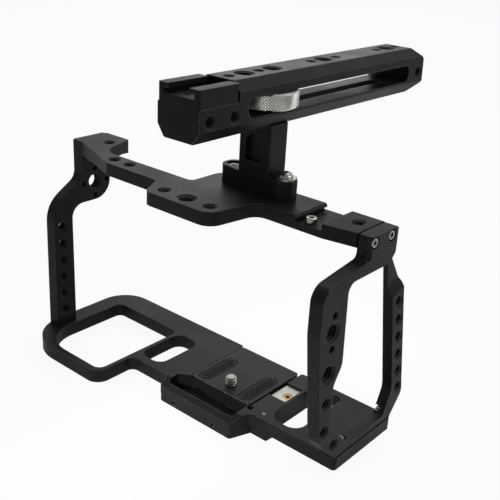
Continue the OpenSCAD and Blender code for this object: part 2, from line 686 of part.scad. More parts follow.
module top_plate() {
    z = [thin_z, cage_h];
    color(anodised) placed() difference() {
        prism_z(top_corners, [plate_z, cage_h]);
        prism_z([[t_right_x, top_front_y - past, 0], [0, top_front_y - past, 0], [0, top_back_y + past, 0],
            [t_right_x, top_back_y + past, 0]], [plate_z - past, thin_z]);
        tapped_z([left_x + 19.8, -30.2], quarter_d, [plate_z, cage_h]);
        for (x = bar_hole_x) tapped_z([x, (bar_y[0] + bar_y[1]) / 2 + 0.6], quarter_d, z);
        tapped_z([centre_hole_x[0], centre_hole_y], quarter_d, z);
        tapped_z([centre_hole_x[1], centre_hole_y], three8_d, z);
        tapped_z([centre_hole_x[2], centre_hole_y], quarter_d, z);
        tapped_z([-15.1, -28], quarter_d, z);
        // Recess, undercut below the lip of the plate
        prism_y([[recess_x[0] - lip_over, recess_z, 0.3], [recess_x[1], recess_z, 0.3],
            [recess_x[1], cage_h + past, 0], [recess_x[0] - 1, cage_h + past, 0],
            [recess_x[0] - 1, cage_h, 0], [recess_x[0], cage_h - 1, 0], [recess_x[0], cage_h - lip_t, 0.3],
            [recess_x[0] - lip_over, cage_h - lip_t, 0.3]], [arm_top_y - past, top_back_y + past]);
        round_z([lock_x, lock_y], screw_d / 2 + fit, [thin_z - past, cage_h]);
        round_z([left_lobe_x, wheel_y], post_screw_d / 2 + fit, [thin_z - past, cage_h + past]);
        round_z([right_lobe_x, wheel_y], post_screw_d / 2 + fit, [thin_z - past, cage_h + past]);
        for (y = head_screw_y) {
            round_x([y, head_screw_z], screw_d / 2 + fit, [arm_left_x, arm_left_x + head_screw_l + 0.5]);
            round_x([y, head_screw_z], screw_d / 2 + fit, [-cap_head_h - head_screw_l - 0.5, past]);
        }
    }
}

module top_lock_screw() {
    color(steel) placed() translate([lock_x, lock_y, recess_z])
        cap_screw(screw_d, lock_head_d, lock_head_h, recess_z - thin_z - 0.5);
}

// ---------------------------------------------------------------- handle post

flange_end_x = right_lobe_x + 5.7;
flange_facet = [4.8, 5.3];              // width and depth of the right lobe's corner facets
flange_corners = [
    [left_lobe_x - lobe_r, wheel_y - lobe_r, lobe_r - 0.2], [handle_x - 9.5, flange_y[0], 1],
    [flange_end_x - flange_facet.x, flange_y[0], 0], [flange_end_x, flange_y[0] + flange_facet.y, 0],
    [flange_end_x, flange_y[1] - flange_facet.y, 0], [flange_end_x - flange_facet.x, flange_y[1], 0],
    [handle_x - 9.5, flange_y[1], 1],
    [left_lobe_x - lobe_r, wheel_y + lobe_r, lobe_r - 0.2]];

flange_top_z = cage_h + flange_h;
sunk_seat_z = flange_top_z - 5;
recess_mid_x = handle_x - 0.3;

module handle_post() {
    column_x = [handle_x - column_w / 2, handle_x + column_w / 2];
    color(anodised) placed() difference() {
        union() {
            prism_z(flange_corners, [cage_h, flange_top_z]);
            prism_z(box_corners(column_x, column_y, 1.3), [cage_h, handle_z - slide_gap]);
        }
        // Arched recess in the column's front face
        prism_y([[recess_mid_x - 5, flange_top_z + 6.4, 0.5], [recess_mid_x + 5, flange_top_z + 6.4, 0.5],
            [recess_mid_x + 5, flange_top_z + 19.9, 4.9], [recess_mid_x - 5, flange_top_z + 19.9, 4.9]],
            [column_y[0] - past, column_y[0] + 2.5]);
        round_z([left_lobe_x, wheel_y], post_screw_d / 2 + fit, [cage_h - past, flange_top_z + past]);
        round_z([left_lobe_x, wheel_y], post_head_d / 2 + 0.4, [sunk_seat_z, flange_top_z + past]);
        round_z([right_lobe_x, wheel_y], post_screw_d / 2 + fit, [cage_h - past, flange_top_z + past]);
        round_z([handle_x, wheel_y], stud_r + fit, [handle_z - stud_foot - 0.5, handle_z + past]);
    }
}

post_grip = flange_h + top_thin_t;           // what the post's two screws hold together

module post_sunk_screw() {
    color(steel) placed() translate([left_lobe_x, wheel_y, sunk_seat_z])
        cap_screw(post_screw_d, post_head_d, 4, sunk_seat_z - thin_z - 0.5);
}

post_washer_t = 1;
post_washer_r = 5.2;
button_d = 7.4;
button_h = 2.6;

module post_button_screw() {
    z = flange_top_z + post_washer_t;
    shank = -post_grip - post_washer_t + 0.5;
    color(steel) placed() translate([right_lobe_x, wheel_y, z]) difference() {
        rotate_extrude() polygon(outline([[0, shank, 0], [post_screw_d / 2, shank, 0], [post_screw_d / 2, 0, 0],
            [button_d / 2, 0, 0], [button_d / 2, button_h, 0.9], [0, button_h, 0]]));
        translate([0, 0, button_h / 2]) cylinder(h = button_h, r = post_screw_d * 0.36, $fn = 6);
    }
}

module post_washer() {
    color(steel) placed() translate([0, 0, flange_top_z]) difference() {
        round_z([right_lobe_x, wheel_y], post_washer_r, [0, post_washer_t]);
        round_z([right_lobe_x, wheel_y], post_screw_d / 2 + 3 * fit, [-past, post_washer_t + past]);
    }
}

module post_stud() {
    color(steel) placed() round_z([handle_x, wheel_y], stud_r, [handle_z - stud_foot, wheel_z[1] - 0.5]);
}

module wheel_washer() {
    color(steel) placed() difference() {
        round_z([handle_x, wheel_y], washer_r, [slot_z[0] + slide_gap / 2, slot_z[0] + washer_t]);
        round_z([handle_x, wheel_y], stud_r + 3 * fit, [slot_z[0] - past, slot_z[0] + washer_t + past]);
    }
}

module thumbwheel() {
    h = wheel_z[1] - wheel_z[0];
    color(steel) placed() translate([handle_x, wheel_y, wheel_z[0]]) rotate_extrude()
        polygon([[stud_r + fit, 0], [wheel_r - 0.8, 0], [wheel_r, 0.8], [wheel_r, h - 0.8], [wheel_r - 0.8, h],
            [stud_r + fit, h]]);
}

// ---------------------------------------------------------------- handle

// Section of the handle, in x and z
handle_section = [
    [handle_x - handle_w / 2 + 4.2, handle_z, 0], [handle_x + handle_w / 2 - 4.2, handle_z, 0],
    [handle_x + handle_w / 2, handle_z + 6, 0], [handle_x + handle_w / 2, handle_top_z - 4.5, 0],
    [handle_x + handle_w / 2 - 4.5, handle_top_z, 0], [handle_x - handle_w / 2 + 4.5, handle_top_z, 0],
    [handle_x - handle_w / 2, handle_top_z - 4.5, 0], [handle_x - handle_w / 2, handle_z + 6, 0]];

// Side view of the handle, in y and z
handle_side = [
    [handle_front_y, handle_z, 0.8], [handle_back_y - 10, handle_z, 2], [handle_back_y, handle_z + 4.6, 1.5],
    [handle_back_y - 0.7, handle_top_z - 5.9, 2], [handle_back_y - 9.3, handle_top_z, 2],
    [handle_front_y + shoe_l, handle_top_z, 0], [handle_front_y + shoe_l, shoe_z, 0],
    [handle_front_y, shoe_z, 0.5]];

// Holes of the handle's top: distance from the front end, diameter
top_holes = [
    [32, handle_pin_d], [42.5, three8_d], [53, handle_pin_d], [63, three8_d], [94.3, handle_pin_d],
    [105, three8_d], [115.8, handle_pin_d]];
back_holes = [[33.3, handle_pin_d], [23.3, three8_d], [13.7, handle_pin_d]];
side_holes = [7.2, 23.3];

module handle_bar() {
    x = [handle_x - handle_w / 2 - past, handle_x + handle_w / 2 + past];
    color(anodised) placed() difference() {
        intersection() {
            prism_y(handle_section, [handle_front_y - past, handle_back_y + past]);
            prism_x(handle_side, x);
        }
        prism_x(box_corners(slot_y, slot_z, 4), x);
        prism_z(box_corners([handle_x - track_r, handle_x + track_r],
            [slot_y[0] + wheel_r - track_r + track_start, slot_y[1] - wheel_r + track_r], track_r - 0.05),
            [handle_z - past, slot_z[0] + past]);
        for (h = top_holes) tapped_z([handle_x, handle_front_y + h[0]], h[1], [slot_z[1], handle_top_z]);
        for (h = back_holes) tapped_z([handle_x, handle_back_y - h[0]], h[1], [slot_z[1], handle_top_z]);
        for (y = side_holes) tapped_x([handle_front_y + y, handle_z + 9.6], quarter_d, [x[0] + past, x[1] - past]);
        tapped_x([handle_back_y - 5.4, handle_z + 11.6], quarter_d, [x[0] + past, x[1] - past]);
        for (y = shoe_screw_y) round_z([handle_x, y], screw_d / 2 + fit, [shoe_z - shoe_screw_grip - 0.2, shoe_z + past]);
    }
}

module cold_shoe() {
    x = handle_x;
    slot_floor_z = shoe_z + shoe_floor_t;
    lip_z = slot_floor_z + shoe_slot_h;
    y = [handle_front_y, handle_front_y + shoe_l - 0.6];
    color(anodised) placed() difference() {
        prism_z(box_corners([x - shoe_w / 2, x + shoe_w / 2], y, 1), [shoe_z, shoe_top_z]);
        translate([x - shoe_slot_w / 2, y[0] - past, slot_floor_z])
            cube([shoe_slot_w, y[1] - y[0] + 2 * past, shoe_slot_h]);
        translate([x - shoe_lips_w / 2, y[0] - past, lip_z - past])
            cube([shoe_lips_w, y[1] - y[0] + 2 * past, shoe_top_z - lip_z + 2 * past]);
        for (sy = shoe_screw_y) translate([x, sy, slot_floor_z]) flat_screw_seat(screw_d, flat_head_d, shoe_floor_t);
    }
}

module cold_shoe_screws() {
    color(dark_steel) placed() for (y = shoe_screw_y)
        translate([handle_x, y, shoe_z + shoe_floor_t]) flat_screw(screw_d, flat_head_d, shoe_floor_t + shoe_screw_grip);
}

base_plate();
front_set_screws();
safety_pin();
qr_plate();
qr_pad_left();
qr_pad_right();
camera_screw();
clamp_block();
clamp_screw();
left_arm();
left_arm_foot_screws();
left_arm_head_screws();
side_frame();
side_frame_head_screws();
side_frame_foot_screws();
top_plate();
top_lock_screw();
handle_post();
post_sunk_screw();
post_button_screw();
post_washer();
post_stud();
wheel_washer();
thumbwheel();
handle_bar();
cold_shoe();
cold_shoe_screws();
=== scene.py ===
import json
import math

import bpy
from mathutils import Matrix, Vector


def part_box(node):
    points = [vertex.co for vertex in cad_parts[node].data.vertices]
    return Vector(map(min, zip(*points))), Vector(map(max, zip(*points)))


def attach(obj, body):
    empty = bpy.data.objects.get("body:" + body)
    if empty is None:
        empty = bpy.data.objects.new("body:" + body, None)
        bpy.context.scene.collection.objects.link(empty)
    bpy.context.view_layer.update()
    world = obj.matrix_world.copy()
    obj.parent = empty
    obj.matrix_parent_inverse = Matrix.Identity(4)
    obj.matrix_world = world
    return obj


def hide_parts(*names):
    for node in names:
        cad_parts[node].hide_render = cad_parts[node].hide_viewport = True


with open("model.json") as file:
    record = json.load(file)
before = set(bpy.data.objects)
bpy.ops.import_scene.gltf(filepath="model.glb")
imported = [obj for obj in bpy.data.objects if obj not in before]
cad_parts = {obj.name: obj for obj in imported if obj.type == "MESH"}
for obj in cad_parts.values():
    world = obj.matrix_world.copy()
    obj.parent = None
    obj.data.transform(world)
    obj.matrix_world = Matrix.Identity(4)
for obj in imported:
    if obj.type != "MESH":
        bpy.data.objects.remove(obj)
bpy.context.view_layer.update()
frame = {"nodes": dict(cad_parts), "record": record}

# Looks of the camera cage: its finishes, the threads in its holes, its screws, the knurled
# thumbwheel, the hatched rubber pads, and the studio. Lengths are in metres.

record = frame["record"]
nodes = frame["nodes"]
MM = 0.001
TURN = 2 * math.pi
UP, RIGHT = (0, 0, 1), (1, 0, 0)


# ---------------------------------------------------------------- node trees

def add(tree, kind, inputs=None, **settings):
    """Adds a node. inputs maps a socket's name or number to a value or to another node's socket."""
    new = tree.nodes.new(kind)
    for name, value in settings.items():
        setattr(new, name, value)
    for key, value in (inputs or {}).items():
        if isinstance(value, bpy.types.NodeSocket):
            tree.links.new(value, new.inputs[key])
        else:
            new.inputs[key].default_value = value
    return new


def maths(tree, operation, *values):
    inputs = {k: value for k, value in enumerate(values)}
    return add(tree, "ShaderNodeMath", inputs, operation=operation).outputs[0]


def spread(tree, value, low, high, source=(0.0, 1.0)):
    """value, which runs over source, spread over low to high."""
    inputs = {"Value": value, "From Min": source[0], "From Max": source[1], "To Min": low, "To Max": high}
    return add(tree, "ShaderNodeMapRange", inputs).outputs["Result"]


def blend(tree, share, first, second):
    """Colour that goes from first to second as share goes from 0 to 1."""
    mix = add(tree, "ShaderNodeMix", data_type="RGBA")
    for socket, value in zip((mix.inputs[0], mix.inputs[6], mix.inputs[7]), (share, first, second)):
        if isinstance(value, bpy.types.NodeSocket):
            tree.links.new(value, socket)
        else:
            socket.default_value = value
    return mix.outputs[2]


def grey(level, warmth=0.0):
    return (level * (1 + warmth), level, level * (1 - warmth), 1.0)


def dimmed(colour, share):
    return tuple(share * level for level in colour[:3]) + (1.0,)


def new_group(name, inputs, outputs):
    """Empty node group; inputs maps names to default numbers, outputs maps names to socket types."""
    group = bpy.data.node_groups.new(name, "ShaderNodeTree")
    for socket, value in inputs.items():
        given = group.interface.new_socket(socket, in_out="INPUT", socket_type="NodeSocketFloat")
        given.default_value = value
    for socket, kind in outputs.items():
        group.interface.new_socket(socket, in_out="OUTPUT", socket_type=kind)
    return group, group.nodes.new("NodeGroupInput"), group.nodes.new("NodeGroupOutput")


def place_group(tree, group, **values):
    placed = add(tree, "ShaderNodeGroup", node_tree=group)
    for name, value in values.items():
        placed.inputs[name.replace("_", " ").capitalize()].default_value = value
    return placed


def make_blasted_surface():
    """Bead-blasted metal: a fine grain, and a slow cloud where handling has polished it."""
    group, given, result = new_group(
        "blasted_surface",
        {"Grains per metre": 2600.0, "Clouds per metre": 28.0},
        {"Grain": "NodeSocketFloat", "Cloud": "NodeSocketFloat"})
    place = add(group, "ShaderNodeTexCoord").outputs["Object"]
    fine = add(group, "ShaderNodeTexNoise", {"Vector": place, "Scale": given.outputs[0], "Detail": 2.0,
                                             "Roughness": 0.6})
    slow = add(group, "ShaderNodeTexNoise", {"Vector": place, "Scale": given.outputs[1], "Detail": 3.0,
                                             "Roughness": 0.55})
    group.links.new(spread(group, fine.outputs["Fac"], 0, 1, (0.3, 0.7)), result.inputs["Grain"])
    group.links.new(spread(group, slow.outputs["Fac"], 0, 1, (0.35, 0.65)), result.inputs["Cloud"])
    return group


def make_soft_edge_painted_light():
    """Edges broken by the cutter, as a softened normal, and two masks for painted light: one that is 1 on
    the edges that stand proud, for a painted highlight, and one that is 1 in the depth of creases, for
    painted shade."""
    group, given, result = new_group(
        "soft_edge_painted_light", {"Width": 0.4 * MM, "Highlight patches per metre": 700.0},
        {"Edge": "NodeSocketFloat", "Crease": "NodeSocketFloat", "Normal": "NodeSocketVector"})
    soft = add(group, "ShaderNodeBevel", {"Radius": given.outputs[0]}, samples=6)
    flat = add(group, "ShaderNodeNewGeometry").outputs["Normal"]
    dot = add(group, "ShaderNodeVectorMath", {0: soft.outputs[0], 1: flat}, operation="DOT_PRODUCT")
    turned = spread(group, dot.outputs["Value"], 1, 0, (0.80, 0.995))
    place = add(group, "ShaderNodeTexCoord").outputs["Object"]
    # Painted highlight: the mask of the proud edges, broken into patches by noise.
    highlight_patches = add(group, "ShaderNodeTexNoise", {"Vector": place, "Scale": given.outputs[1], "Detail": 2.0})
    edge_highlight = maths(group, "MULTIPLY", turned, spread(group, highlight_patches.outputs["Fac"], 0.35, 1, (0.35, 0.65)))
    reach = add(group, "ShaderNodeAmbientOcclusion", {"Distance": 1.6 * MM}, samples=6, only_local=True)
    open_air = spread(group, reach.outputs["AO"], 0, 1, (0.75, 0.98))
    group.links.new(maths(group, "MULTIPLY", edge_highlight, open_air), result.inputs["Edge"])
    # Painted shade: the crease mask rises as ambient occlusion falls.
    group.links.new(spread(group, reach.outputs["AO"], 1, 0, (0.15, 0.75)), result.inputs["Crease"])
    group.links.new(soft.outputs[0], result.inputs["Normal"])
    return group


NOWHERE = -1.0          # far from every piece, in metres


def make_seam():
    """Mask that is 1 in a joint where two pieces butt: beside a plane across x, above a height, and
    beside a plane across z, beyond an x. Faces that lie in the joint's plane stay 0."""
    group, given, result = new_group(
        "seam",
        {"Across x": NOWHERE, "Above": NOWHERE, "Across z": NOWHERE, "Beyond": NOWHERE, "Width": 0.8 * MM},
        {"Seam": "NodeSocketFloat"})
    place = add(group, "ShaderNodeTexCoord").outputs["Object"]
    point = add(group, "ShaderNodeSeparateXYZ", {0: place}).outputs
    normal = add(group, "ShaderNodeNewGeometry").outputs["Normal"]
    facing = add(group, "ShaderNodeSeparateXYZ", {0: normal}).outputs

    def joint(axis, plane, other, limit):
        away = maths(group, "ABSOLUTE", maths(group, "SUBTRACT", point[axis], given.outputs[plane]))
        near = spread(group, maths(group, "DIVIDE", away, given.outputs["Width"]), 1, 0, (0.5, 1.0))
        upright = maths(group, "LESS_THAN", maths(group, "ABSOLUTE", facing[axis]), 0.5)
        inside = maths(group, "GREATER_THAN", point[other], given.outputs[limit])
        return maths(group, "MULTIPLY", maths(group, "MULTIPLY", near, upright), inside)
    upper, lower = joint("X", "Across x", "Z", "Above"), joint("Z", "Across z", "X", "Beyond")
    group.links.new(maths(group, "MAXIMUM", upper, lower), result.inputs["Seam"])
    return group


blasted_surface = make_blasted_surface()
soft_edge_painted_light = make_soft_edge_painted_light()
seam = make_seam()


# ---------------------------------------------------------------- finishes

def new_finish(name, **constants):
    """Material whose Principled shader holds the constants; returns it with its tree and shader."""
    material = bpy.data.materials.new(name)
    material.use_nodes = True
    shader = material.node_tree.nodes["Principled BSDF"]
    for key, value in constants.items():
        shader.inputs[key.replace("_", " ")].default_value = value
    return material, material.node_tree, shader


def roughen(tree, shader, height, depth, normal=None):
    """Bumps the shader's normal by height times depth, from the given normal or the mesh's own."""
    inputs = {"Height": height, "Strength": 1.0, "Distance": depth}
    if normal:
        inputs["Normal"] = normal
    tree.links.new(add(tree, "ShaderNodeBump", inputs).outputs[0], shader.inputs["Normal"])


GRAIN_DEPTH = 0.006 * MM
SEAM_DEPTH = 0.54 * MM


def anodised_finish(name, dark=0.007, light=0.012, edge_level=0.20, roughness=0.44, seams=None,
                    edge_width=0.4 * MM):
    """Matte black anodised aluminium, from dark to light, with a painted highlight on its proud edges,
    painted shade in its creases and a painted shadow in its seams. seams are the seam group's planes in
    the piece's own frame."""
    finish, tree, shader = new_finish(name, Metallic=0.0, Specular_IOR_Level=0.14)
    blast = place_group(tree, blasted_surface)
    edge = place_group(tree, soft_edge_painted_light, width=edge_width)
    tone = maths(tree, "ADD", maths(tree, "MULTIPLY", blast.outputs["Cloud"], 0.6),
                 maths(tree, "MULTIPLY", blast.outputs["Grain"], 0.4))
    body = blend(tree, tone, grey(dark, 0.07), grey(light, 0.08))
    # Painted highlight: the proud edges go lighter, towards edge_level.
    share = maths(tree, "MULTIPLY", edge.outputs["Edge"], 0.8)
    colour = blend(tree, share, body, grey(edge_level, 0.05))
    # Painted shade: near-black in the depth of creases.
    colour = blend(tree, edge.outputs["Crease"], colour, grey(0.004))
    height = blast.outputs["Grain"]
    dullness = spread(tree, blast.outputs["Cloud"], roughness + 0.05, roughness - 0.05)
    if seams:
        butted = place_group(tree, seam, **seams).outputs["Seam"]
        # Painted shadow: near-black in the seam, in place of the shade in the gap between butted pieces;
        # the groove itself is a bump.
        colour = blend(tree, butted, colour, grey(0.001))
        height = maths(tree, "SUBTRACT", height, maths(tree, "MULTIPLY", butted, SEAM_DEPTH / GRAIN_DEPTH))
        dullness = maths(tree, "MAXIMUM", dullness, butted)
    tree.links.new(colour, shader.inputs["Base Color"])
    tree.links.new(dullness, shader.inputs["Roughness"])
    roughen(tree, shader, height, GRAIN_DEPTH, edge.outputs["Normal"])
    return finish


def metal_finish(name, colour, roughness, edge_width=0.12 * MM):
    """Bare metal with fine tool marks."""
    finish, tree, shader = new_finish(name, Metallic=1.0)
    blast = place_group(tree, blasted_surface, grains_per_metre=4200.0, clouds_per_metre=160.0)
    edge = place_group(tree, soft_edge_painted_light, width=edge_width)
    body = blend(tree, blast.outputs["Cloud"], colour, dimmed(colour, 0.82))
    # Painted shade: the colour goes nearly black in the depth of creases, such as thread roots and knurl
    # grooves.
    body = blend(tree, edge.outputs["Crease"], body, dimmed(colour, 0.06))
    tree.links.new(body, shader.inputs["Base Color"])
    tree.links.new(spread(tree, blast.outputs["Grain"], roughness - 0.03, roughness + 0.03),
                   shader.inputs["Roughness"])
    roughen(tree, shader, blast.outputs["Grain"], 0.0006 * MM, edge.outputs["Normal"])
    return finish


def rubber_finish(name):
    """Dull black rubber, a little dusty in places."""
    finish, tree, shader = new_finish(name, Metallic=0.0, Specular_IOR_Level=0.12)
    blast = place_group(tree, blasted_surface, grains_per_metre=5200.0, clouds_per_metre=90.0)
    edge = place_group(tree, soft_edge_painted_light, width=0.12 * MM)
    body = blend(tree, blast.outputs["Cloud"], grey(0.014), grey(0.021))
    # Painted shade: black in the depth of creases.
    body = blend(tree, edge.outputs["Crease"], body, grey(0.0))
    # Painted highlight: the pad's proud edges go light grey.
    tree.links.new(blend(tree, edge.outputs["Edge"], body, grey(0.12)), shader.inputs["Base Color"])
    tree.links.new(spread(tree, blast.outputs["Cloud"], 0.62, 0.78), shader.inputs["Roughness"])
    roughen(tree, shader, blast.outputs["Grain"], 0.012 * MM)
    return finish


finishes = {
    "anodised": anodised_finish("black_anodised"),
    "steel": metal_finish("stainless_steel", (0.42, 0.40, 0.37, 1.0), 0.26),
    "bright_steel": metal_finish("matte_silver", (0.52, 0.52, 0.49, 1.0), 0.46),
    "dark_steel": metal_finish("blackened_steel", (0.05, 0.05, 0.048, 1.0), 0.24),
    "brass": metal_finish("brass", (0.50, 0.31, 0.12, 1.0), 0.30),
    "rubber": rubber_finish("pad_rubber"),
}
# Painted highlight: the threaded walls are a lighter copy of the black anodised finish, in place of light
# glinting on the threads.
thread_painted_highlight = anodised_finish("threaded_wall_painted_highlight", dark=0.018, light=0.030, roughness=0.34)
knurl_finish = metal_finish("knurled_steel", (0.60, 0.58, 0.55, 1.0), 0.30, 0.05 * MM)
dull_steel = metal_finish("dull_steel", (0.22, 0.215, 0.21, 1.0), 0.34)


def paint(name, finish):
    """Gives a CAD node its finish."""
    slots = nodes[name].data.materials
    slots.clear()
    slots.append(finish)


def paint_seamed(name, **seams):
    paint(name, anodised_finish("black_anodised_" + name, seams=seams))


for part in record["subparts"]:
    paint(part["node"], finishes[part["material_slot"]])

HEAD_DEPTH = 15 * MM     # depth of the side frame's head below the cage's top
to_frame = nodes["side_frame"].matrix_world.inverted()
frame_low, frame_high = (to_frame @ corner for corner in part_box("side_frame"))
paint_seamed("side_frame", across_x=frame_low.x, above=frame_high.z - HEAD_DEPTH, across_z=frame_low.z)
paint_seamed("top_plate", across_x=frame_low.x)
paint_seamed("base_plate", across_z=frame_low.z, beyond=frame_low.x)
paint("safety_pin", dull_steel)
paint("handle_bar", anodised_finish("black_anodised_bar", edge_width=0.9 * MM))


# ---------------------------------------------------------------- turned pieces

def new_piece(name, vertices, faces, finish, body, sharp_degrees=32):
    mesh = bpy.data.meshes.new(name)
    mesh.from_pydata(vertices, [], faces)
    mesh.shade_smooth()
    mesh.set_sharp_from_angle(angle=math.radians(sharp_degrees))
    mesh.materials.append(finish)
    piece = bpy.data.objects.new(name, mesh)
    bpy.context.scene.collection.objects.link(piece)
    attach(piece, body)
    return piece


def turned_mesh(rings, steps, place, through=False):
    """Vertices and faces of a turned solid. Each ring is (radius, height), where either may be a
    function of the angle. The solid is closed on its axis, or has a hole when through is True.
    place is the matrix that puts the turning axis, +Z, where it belongs."""
    vertices, faces = [], []
    for radius, height in rings:
        for k in range(steps):
            angle = TURN * k / steps
            r = radius(angle) if callable(radius) else radius
            z = height(angle) if callable(height) else height
            vertices.append(place @ Vector((r * math.cos(angle), r * math.sin(angle), z)))
    count = len(rings)
    for i in range(count if through else count - 1):
        low, high = i * steps, ((i + 1) % count) * steps
        for k in range(steps):
            after = (k + 1) % steps
            faces.append((low + k, low + after, high + after, high + k))
    if not through:
        for ring, flipped in ((0, True), (count - 1, False)):
            vertices.append(place @ Vector((0, 0, rings[ring][1])))
            centre = len(vertices) - 1
            for k in range(steps):
                edge = (ring * steps + k, ring * steps + (k + 1) % steps)
                faces.append((*(reversed(edge) if flipped else edge), centre))
    return vertices, faces


def pointing(centre, axis):
    """Matrix that moves the origin to centre and turns +Z along axis."""
    turn = Vector(axis).to_track_quat("Z", "Y").to_matrix().to_4x4()
    return Matrix.Translation(Vector(centre)) @ turn


def thread_height(height, angle, pitch):
    """Height of a 60 degree thread, from 0 at its root to 1 at its crest."""
    along = (height / pitch - angle / TURN) % 1.0
    crest, root = 0.125, 0.25
    flank = (1 - crest - root) / 2
    return min(1.0, max(0.0, (flank + crest / 2 - abs(along - 0.5)) / flank))


RUN_OUT = 0.2            # turns over which a thread fades out at its ends


def thread_rings(radius, depth, pitch, low, high, rows_per_turn=8):
    """Rings of a thread between two heights; depth is negative for the thread inside a hole."""
    rows = max(2, math.ceil((high - low) / pitch * rows_per_turn))
    rings = []
    for i in range(rows + 1):
        z = low + (high - low) * i / rows
        fade = min(1.0, (z - low) / (RUN_OUT * pitch), (high - z) / (RUN_OUT * pitch))

        def threaded(angle, z=z, fade=fade):
            return radius + depth * fade * thread_height(z, angle, pitch)
        rings.append((threaded, z))
    return rings


PITCH = {"quarter inch": 25.4 * MM / 20, "three eighths inch": 25.4 * MM / 16}


def pitch_of(radius):
    return PITCH["quarter inch" if radius < 4 * MM else "three eighths inch"]


def thread_of_hole(mount):
    """The thread in a tapped hole, as a sleeve whose outer wall is buried in the metal."""
    radius, length = mount["dims"]["r_mm"] * MM, mount["dims"]["length_mm"] * MM
    pitch = pitch_of(radius)
    root, buried = radius - 0.05 * MM, radius + 0.15 * MM
    depth = 0.5 * pitch
    inside = thread_rings(root, -depth, pitch, -length / 2, length / 2)
    rings = [(buried, -length / 2), (buried, length / 2)] + inside[::-1]
    vertices, faces = turned_mesh(rings, 32, pointing(mount["pos_m"], mount["axis"]), through=True)
    body = "handle" if mount["name"].startswith("handle") else "cage"
    new_piece("thread_" + mount["name"], vertices, faces, thread_painted_highlight, body)


for mount in record["mounts"]:
    if mount["kind"] == "threaded_hole":
        thread_of_hole(mount)


# ---------------------------------------------------------------- screws

def solids_of(name):
    """Lowest and highest corners of each separate solid in a CAD node."""
    mesh = nodes[name].data
    same = {}
    group = [same.setdefault(tuple(round(c, 6) for c in v.co), v.index) for v in mesh.vertices]

    def top(i):
        while group[i] != i:
            group[i] = group[group[i]]
            i = group[i]
        return i
    for edge in mesh.edges:
        a, b = top(edge.vertices[0]), top(edge.vertices[1])
        group[max(a, b)] = min(a, b)
    boxes = {}
    for v in mesh.vertices:
        low, high = boxes.setdefault(top(v.index), (v.co.copy(), v.co.copy()))
        for k in range(3):
            low[k], high[k] = min(low[k], v.co[k]), max(high[k], v.co[k])
    return sorted(boxes.values(), key=lambda box: tuple(box[0]))


def hexagon(width):
    """Radius, at each angle, of a hexagon of that width across its flats."""
    def radius(angle):
        return width / 2 / math.cos((angle + TURN / 12) % (TURN / 6) - TURN / 12)
    return radius


def cap_screw_rings(shank, length, head, head_height, socket):
    """Socket head screw with a knurled head; its head's top lies on z = 0."""
    ridge, lead, steps = 0.09 * MM, 0.3 * MM, 72

    def knurled(angle):
        return head / 2 - ridge * (round(angle * steps / TURN) % 2)
    foot = -length
    deep = -0.55 * head_height
    return [
        (shank / 2 - lead, foot), (shank / 2, foot + lead), (shank / 2, -head_height),
        (head / 2 - lead / 2, -head_height), (knurled, -head_height + lead), (knurled, -1.6 * lead),
        (head / 2 - 0.1 * MM, -lead), (head / 2 - lead, 0), (socket / 2 / 0.86 + 0.15 * MM, 0),
        (hexagon(socket), -0.12 * MM), (hexagon(socket), deep)], steps


def button_screw_rings(shank, length, head, head_height, socket):
    """Screw with a domed head and a hexagon socket; its head's top lies on z = 0."""
    lead, steps, rows = 0.3 * MM, 72, 10
    rim, crown = math.radians(8), math.radians(65)
    dome = []
    for k in range(rows + 1):
        slope = rim + (crown - rim) * k / rows
        dome.append((head / 2 * math.cos(slope) / math.cos(rim),
                     -head_height + head_height * math.sin(slope) / math.sin(crown)))
    return [
        (shank / 2 - lead, -length), (shank / 2, -length + lead), (shank / 2, -head_height),
        (head / 2, -head_height), *dome, (socket / 2 / 0.86 + 0.05 * MM, 0),
        (hexagon(socket), -0.08 * MM), (hexagon(socket), -0.6 * head_height)], steps


def button_screw(node, shank, head_height, socket):
    """Turned screw in the place of a CAD node's domed screw."""
    low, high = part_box(node)
    top = (low + high) / 2
    top.z = high.z
    rings, steps = button_screw_rings(shank, high.z - low.z, high.x - low.x, head_height, socket)
    vertices, faces = turned_mesh(rings, steps, pointing(top, UP))
    piece = new_piece(node + "_turned", vertices, faces, finishes["steel"], "cage")
    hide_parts(node)


def cap_screws(node, axis, shank, head_height, socket, head=None, finish=finishes["steel"]):
    """Turned screws in the place of a CAD node's screws, whose heads point along axis. head is the
    head's diameter where it isn't the node's width."""
    across = [k for k in range(3) if not axis[k]]
    along = [k for k in range(3) if axis[k]][0]
    for number, (low, high) in enumerate(solids_of(node), 1):
        top = (low + high) / 2
        top[along] = high[along]
        rings, steps = cap_screw_rings(shank, high[along] - low[along],
                                       head or high[across[0]] - low[across[0]], head_height, socket)
        vertices, faces = turned_mesh(rings, steps, pointing(top, axis))
        piece = new_piece(f"{node}_turned_{number}", vertices, faces, finish, "cage")
        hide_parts(node)


M3, M4 = 3.0 * MM, 4.0 * MM
cap_screws("side_frame_head_screws", RIGHT, M3, head_height=2.1 * MM, socket=2.5 * MM, head=4.9 * MM)
cap_screws("side_frame_foot_screws", UP, M3, head_height=1.2 * MM, socket=1.6 * MM, head=3.6 * MM,
           finish=dull_steel)
cap_screws("top_lock_screw", UP, M3, head_height=3.0 * MM, socket=2.5 * MM)
cap_screws("post_sunk_screw", UP, M4, head_height=4.0 * MM, socket=3.0 * MM)
button_screw("post_button_screw", M4, head_height=2.6 * MM, socket=2.5 * MM)


